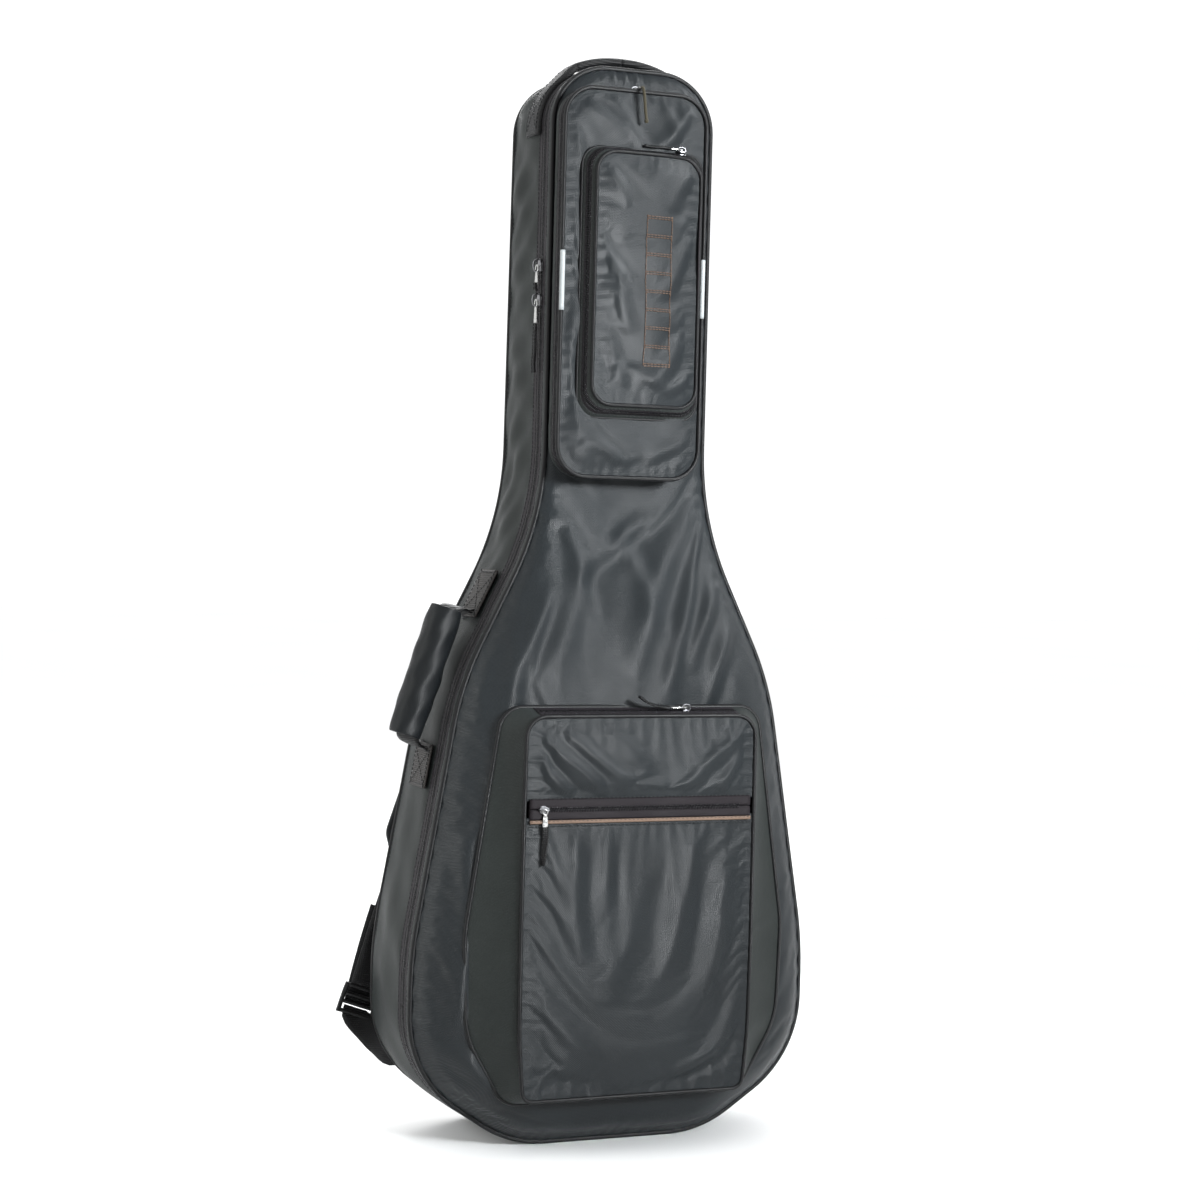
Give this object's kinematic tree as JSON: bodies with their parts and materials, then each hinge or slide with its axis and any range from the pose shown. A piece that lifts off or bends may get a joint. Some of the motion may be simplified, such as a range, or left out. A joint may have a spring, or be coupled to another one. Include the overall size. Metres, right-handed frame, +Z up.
{
  "type": "padded gig bag",
  "caption": "Padded soft gig bag for an acoustic guitar, with a zipped opening lid, three outer pockets, a side carry handle, a top handle and two shoulder straps.",
  "frame": {"origin": "centre of the flat underside of the wear pad that the bag stands on", "axes": "+Z up along the bag's length, -Y out of the front panel, +X towards the viewer's right when facing the front"},
  "size_m": [0.4868, 0.2357, 1.084],
  "materials": {
    "satin_nylon": "satin",
    "lining_cloth": "matte",
    "piping_black": "satin",
    "zip_tape": "matte",
    "webbing_black": "satin",
    "webbing_grey_brown": "satin",
    "handle_wrap": "satin",
    "strap_fabric": "satin",
    "tan_trim": "matte",
    "reflective_tape": "satin",
    "padding_foam": "matte",
    "rubber_black": "matte",
    "buckle_plastic": "satin",
    "slider_metal": "satin",
    "pull_metal": "satin"
  },
  "bodies": {
    "rear_shell": {"back_panel_foam": "padding_foam", "side_gusset_foam": "padding_foam", "back_panel_cover": "satin_nylon", "side_gusset_cover": "satin_nylon", "rear_lining": "lining_cloth", "back_edge_piping": "piping_black", "main_zip_rear_tape": "zip_tape", "bottom_wear_pad": "rubber_black", "carry_handle_patches": "webbing_grey_brown", "grab_handle_patches": "webbing_grey_brown", "strap_yoke": "strap_fabric", "strap_lower_tabs": "webbing_black"},
    "front_lid": {"front_panel_foam": "padding_foam", "front_panel_lining": "lining_cloth", "front_panel_cover": "satin_nylon", "front_band_cover": "satin_nylon", "main_zip_front_tape": "zip_tape", "front_edge_piping": "piping_black", "lower_pocket_gusset": "satin_nylon", "lower_pocket_zip_rear_tape": "zip_tape", "lower_pocket_zip_front_tape": "zip_tape", "lower_pocket_upper_face": "satin_nylon", "lower_pocket_lower_face": "satin_nylon", "document_zip_tapes": "zip_tape", "document_zip_trim": "tan_trim", "document_pocket_liner": "lining_cloth", "lower_pocket_piping": "piping_black", "neck_pocket_base_wall": "satin_nylon", "neck_pocket_zip_rear_tape": "zip_tape"},
    "neck_pocket_flap": {"neck_pocket_zip_front_tape": "zip_tape", "neck_pocket_flap_wall": "satin_nylon", "neck_pocket_flap_face": "satin_nylon", "neck_pocket_piping": "piping_black", "reflective_strips": "reflective_tape", "small_pocket_base_wall": "satin_nylon"},
    "small_pocket_flap": {"small_pocket_flap_wall": "satin_nylon", "small_pocket_flap_face": "satin_nylon", "small_pocket_piping": "piping_black", "embroidered_motif": "tan_trim"},
    "main_upper_zip_slider": {"main_upper_slider": "slider_metal"},
    "main_upper_zip_pull": {"main_upper_pull": "pull_metal"},
    "main_lower_zip_slider": {"main_lower_slider": "slider_metal"},
    "main_lower_zip_pull": {"main_lower_pull": "pull_metal"},
    "neck_pocket_zip_slider": {"neck_pocket_slider": "slider_metal"},
    "neck_pocket_zip_pull": {"neck_pocket_pull": "pull_metal"},
    "small_pocket_zip_slider": {"small_pocket_slider": "slider_metal"},
    "small_pocket_zip_pull": {"small_pocket_pull": "pull_metal"},
    "lower_pocket_zip_slider": {"lower_pocket_slider": "slider_metal"},
    "lower_pocket_zip_pull": {"lower_pocket_pull": "pull_metal"},
    "document_zip_slider": {"document_slider": "slider_metal"},
    "document_zip_pull": {"document_pull": "pull_metal"},
    "carry_handle": {"carry_handle_webbing": "webbing_black", "carry_handle_grip": "handle_wrap"},
    "grab_handle": {"grab_handle_webbing": "webbing_black"},
    "left_shoulder_strap": {"left_strap_pad": "strap_fabric", "left_strap_webbing": "webbing_black", "left_strap_buckle": "buckle_plastic"},
    "right_shoulder_strap": {"right_strap_pad": "strap_fabric", "right_strap_webbing": "webbing_black", "right_strap_buckle": "buckle_plastic"}
  },
  "joints": [
    {"name": "front_lid_opening", "type": "hinge", "parent": "rear_shell", "child": "front_lid", "pos_m": [0.2105, -0.0415, 0.193], "axis": [-0.1492, 0, 0.9888], "range_deg": [0, 110]},
    {"name": "neck_pocket_flap_opening", "type": "hinge", "parent": "front_lid", "child": "neck_pocket_flap", "pos_m": [0.0678, -0.0815, 0.85], "axis": [0, 0, 1], "range_deg": [0, 90]},
    {"name": "small_pocket_flap_opening", "type": "hinge", "parent": "neck_pocket_flap", "child": "small_pocket_flap", "pos_m": [0.0638, -0.0985, 0.85], "axis": [0, 0, 1], "range_deg": [0, 90]},
    {"name": "main_upper_zip_travel", "type": "slide", "parent": "rear_shell", "child": "main_upper_zip_slider", "axis": [0, 0, 1], "range_m": [0, 0.13]},
    {"name": "main_lower_zip_travel", "type": "slide", "parent": "rear_shell", "child": "main_lower_zip_slider", "axis": [0, 0, 1], "range_m": [-0.1, 0]},
    {"name": "neck_pocket_zip_travel", "type": "slide", "parent": "neck_pocket_flap", "child": "neck_pocket_zip_slider", "axis": [1, 0, 0], "range_m": [-0.04, 0.03]},
    {"name": "small_pocket_zip_travel", "type": "slide", "parent": "neck_pocket_flap", "child": "small_pocket_zip_slider", "axis": [1, 0, 0], "range_m": [-0.07, 0]},
    {"name": "lower_pocket_zip_travel", "type": "slide", "parent": "front_lid", "child": "lower_pocket_zip_slider", "axis": [1, 0, 0], "range_m": [-0.12, 0.03]},
    {"name": "document_zip_travel", "type": "slide", "parent": "front_lid", "child": "document_zip_slider", "axis": [1, 0, 0], "range_m": [0, 0.195]},
    {"name": "main_upper_pull_swing", "type": "hinge", "parent": "main_upper_zip_slider", "child": "main_upper_zip_pull", "pos_m": [-0.08987, -0.0415, 0.87], "axis": [0, 1, 0], "range_deg": [0, 100]},
    {"name": "main_lower_pull_swing", "type": "hinge", "parent": "main_lower_zip_slider", "child": "main_lower_zip_pull", "pos_m": [-0.08987, -0.0415, 0.836], "axis": [0, 1, 0], "range_deg": [0, 100]},
    {"name": "neck_pocket_pull_swing", "type": "hinge", "parent": "neck_pocket_zip_slider", "child": "neck_pocket_zip_pull", "pos_m": [-0.006, -0.0815, 1.04423], "axis": [1, 0, 0], "range_deg": [-50, 0]},
    {"name": "small_pocket_pull_swing", "type": "hinge", "parent": "small_pocket_zip_slider", "child": "small_pocket_zip_pull", "pos_m": [0.038, -0.0985, 0.98676], "axis": [0, 1, 0], "range_deg": [0, 100]},
    {"name": "lower_pocket_pull_swing", "type": "hinge", "parent": "lower_pocket_zip_slider", "child": "lower_pocket_zip_pull", "pos_m": [0.052, -0.11351, 0.43779], "axis": [0, 0.9711, 0.2385], "range_deg": [0, 100]},
    {"name": "document_pull_swing", "type": "hinge", "parent": "document_zip_slider", "child": "document_zip_pull", "pos_m": [-0.102, -0.13253, 0.341], "axis": [1, 0, 0], "range_deg": [-50, 0]},
    {"name": "carry_handle_swing", "type": "hinge", "parent": "rear_shell", "child": "carry_handle", "pos_m": [-0.14734, -0.0025, 0.5288], "axis": [-0.3097, 0, -0.9508], "range_deg": [-12, 100]},
    {"name": "grab_handle_swing", "type": "hinge", "parent": "rear_shell", "child": "grab_handle", "pos_m": [0, -0.0165, 1.062], "axis": [1, 0, 0], "range_deg": [-15, 15]},
    {"name": "left_strap_swing", "type": "hinge", "parent": "rear_shell", "child": "left_shoulder_strap", "pos_m": [-0.038, 0.06256, 0.637], "axis": [-0.3314, 0.0272, -0.9431], "range_deg": [-30, 30]},
    {"name": "right_strap_swing", "type": "hinge", "parent": "rear_shell", "child": "right_shoulder_strap", "pos_m": [0.038, 0.06256, 0.637], "axis": [0.3314, 0.0272, -0.9431], "range_deg": [-30, 30]}
  ]
}
